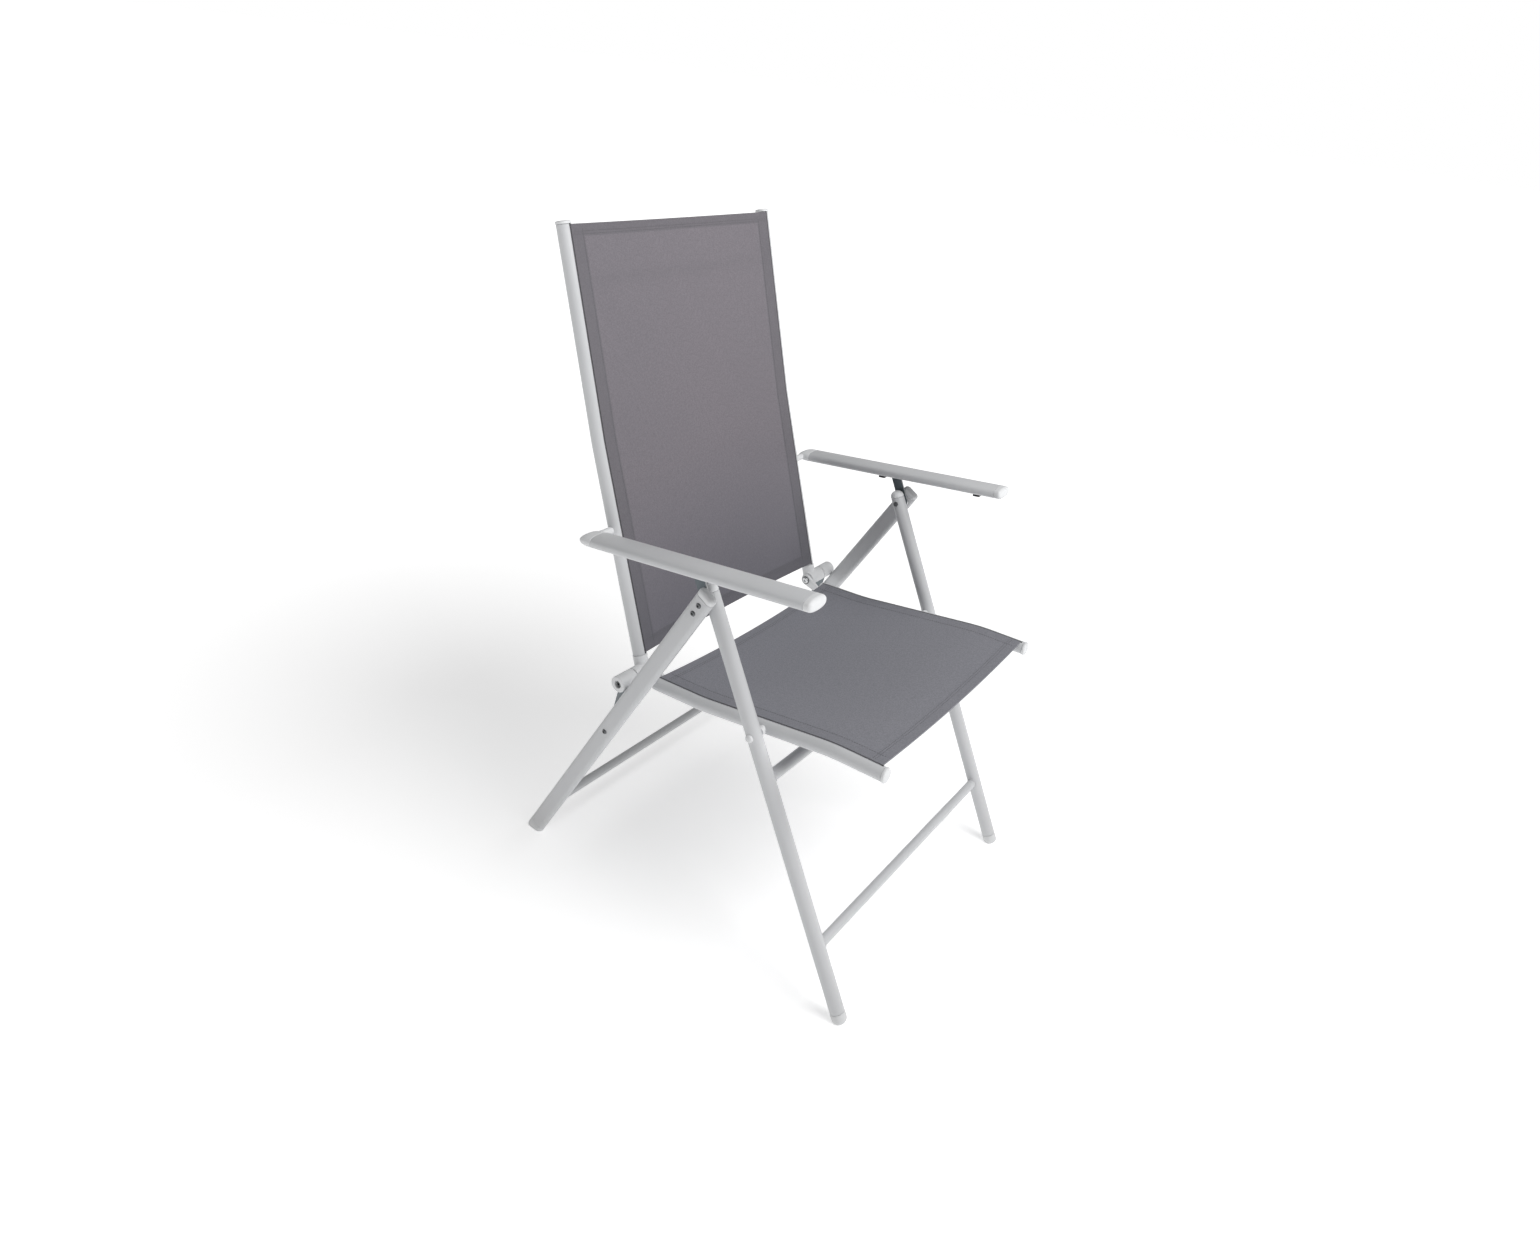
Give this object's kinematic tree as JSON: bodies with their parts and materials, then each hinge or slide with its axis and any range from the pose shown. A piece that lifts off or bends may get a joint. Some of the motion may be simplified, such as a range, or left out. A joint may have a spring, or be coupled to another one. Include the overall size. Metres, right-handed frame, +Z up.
{
  "type": "folding chair",
  "caption": "High-back folding armchair: light tube frame with crossed legs, textile seat and back slings, flat armrests on notched racks, reclining back.",
  "frame": {"origin": "on the floor, at the middle of the chair's outer box", "axes": "+X to the sitter's left, the sitter faces -Y, +Z up"},
  "size_m": [0.618, 0.701, 1.0617],
  "materials": {
    "frame_paint": "satin light grey powder coat",
    "cap_plastic": "moulded, matt",
    "steel": "bright zinc",
    "bracket_paint": "dark blue-grey paint",
    "rack_plastic": "moulded, matt black",
    "sling_fabric": "coated open weave textile, grey"
  },
  "bodies": {
    "front_frame": {"armrest_bracket_left": "bracket_paint", "armrest_bracket_right": "bracket_paint", "front_crossbar_lower": "frame_paint", "front_crossbar_upper": "frame_paint", "front_foot_left": "cap_plastic", "front_foot_right": "cap_plastic", "front_leg_cap_left": "cap_plastic", "front_leg_cap_right": "cap_plastic", "front_leg_left": "frame_paint", "front_leg_right": "frame_paint", "leg_pivot_bolt_left": "steel", "leg_pivot_bolt_right": "steel", "seat_pivot_bolt_left": "steel", "seat_pivot_bolt_right": "steel"},
    "rear_frame": {"link_pivot_bolt_left": "steel", "link_pivot_bolt_right": "steel", "rear_crossbar": "frame_paint", "rear_foot_left": "cap_plastic", "rear_foot_right": "cap_plastic", "rear_leg_cap_left": "cap_plastic", "rear_leg_cap_right": "cap_plastic", "rear_leg_left": "frame_paint", "rear_leg_right": "frame_paint"},
    "links": {"hinge_bumper_bolt_left": "steel", "hinge_bumper_bolt_right": "steel", "hinge_bumper_left": "cap_plastic", "hinge_bumper_right": "cap_plastic", "link_plate_left": "bracket_paint", "link_plate_right": "bracket_paint"},
    "seat": {"seat_hinge_eye_left": "cap_plastic", "seat_hinge_eye_right": "cap_plastic", "seat_pivot_spacer_left": "steel", "seat_pivot_spacer_right": "steel", "seat_sling": "sling_fabric", "seat_spreader": "frame_paint", "seat_tube_cap_left": "cap_plastic", "seat_tube_cap_right": "cap_plastic", "seat_tube_left": "frame_paint", "seat_tube_right": "frame_paint"},
    "hinge_bolts": {"hinge_bolt_left": "steel", "hinge_bolt_right": "steel"},
    "back": {"back_crossbar_bottom": "frame_paint", "back_crossbar_top": "frame_paint", "back_hinge_fitting_left": "cap_plastic", "back_hinge_fitting_right": "cap_plastic", "back_sling": "sling_fabric", "back_tube_cap_left": "cap_plastic", "back_tube_cap_right": "cap_plastic", "back_tube_left": "frame_paint", "back_tube_right": "frame_paint"},
    "armrest_bolts": {"armrest_pivot_bolt_left": "steel", "armrest_pivot_bolt_right": "steel"},
    "armrests": {"armrest_front_cap_left": "cap_plastic", "armrest_front_cap_right": "cap_plastic", "armrest_left": "frame_paint", "armrest_rack_left": "rack_plastic", "armrest_rack_right": "rack_plastic", "armrest_rear_cap_left": "cap_plastic", "armrest_rear_cap_right": "cap_plastic", "armrest_right": "frame_paint"}
  },
  "joints": [
    {"name": "leg_fold", "type": "hinge", "parent": "front_frame", "child": "rear_frame", "pos_m": [0, -0.01631, 0.602], "axis": [-1, 0, 0], "range_deg": [0, 46.71]},
    {"name": "seat_pivot", "type": "hinge", "parent": "front_frame", "child": "seat", "pos_m": [0, -0.11568, 0.4153], "axis": [-1, 0, 0], "range_deg": [0, 88.7]},
    {"name": "link_pivot", "type": "hinge", "parent": "rear_frame", "child": "links", "pos_m": [0, 0.14918, 0.29928], "axis": [-1, 0, 0], "range_deg": [0, 146.81]},
    {"name": "back_fold", "type": "hinge", "parent": "seat", "child": "hinge_bolts", "pos_m": [0, 0.12778, 0.3995], "axis": [1, 0, 0], "range_deg": [0, 90.04]},
    {"name": "recline", "type": "hinge", "parent": "hinge_bolts", "child": "back", "pos_m": [0, 0.12778, 0.3995], "axis": [-1, 0, 0], "range_deg": [0, 30]},
    {"name": "armrest_follow", "type": "hinge", "parent": "back", "child": "armrest_bolts", "pos_m": [0, 0.20727, 0.62058], "axis": [1, 0, 0], "range_deg": [0, 20.66]},
    {"name": "armrest_lift", "type": "hinge", "parent": "armrest_bolts", "child": "armrests", "pos_m": [0, 0.20727, 0.62058], "axis": [-1, 0, 0], "range_deg": [0, 108.04]}
  ],
  "couplings": [
    {"joint": "seat_pivot", "follows": "leg_fold", "ratio": 1.8979},
    {"joint": "link_pivot", "follows": "leg_fold", "ratio": 3.142},
    {"joint": "back_fold", "follows": "leg_fold", "ratio": 1.9266},
    {"joint": "armrest_lift", "follows": "leg_fold", "ratio": 2.312},
    {"joint": "armrest_follow", "follows": "recline", "ratio": 0.687}
  ]
}
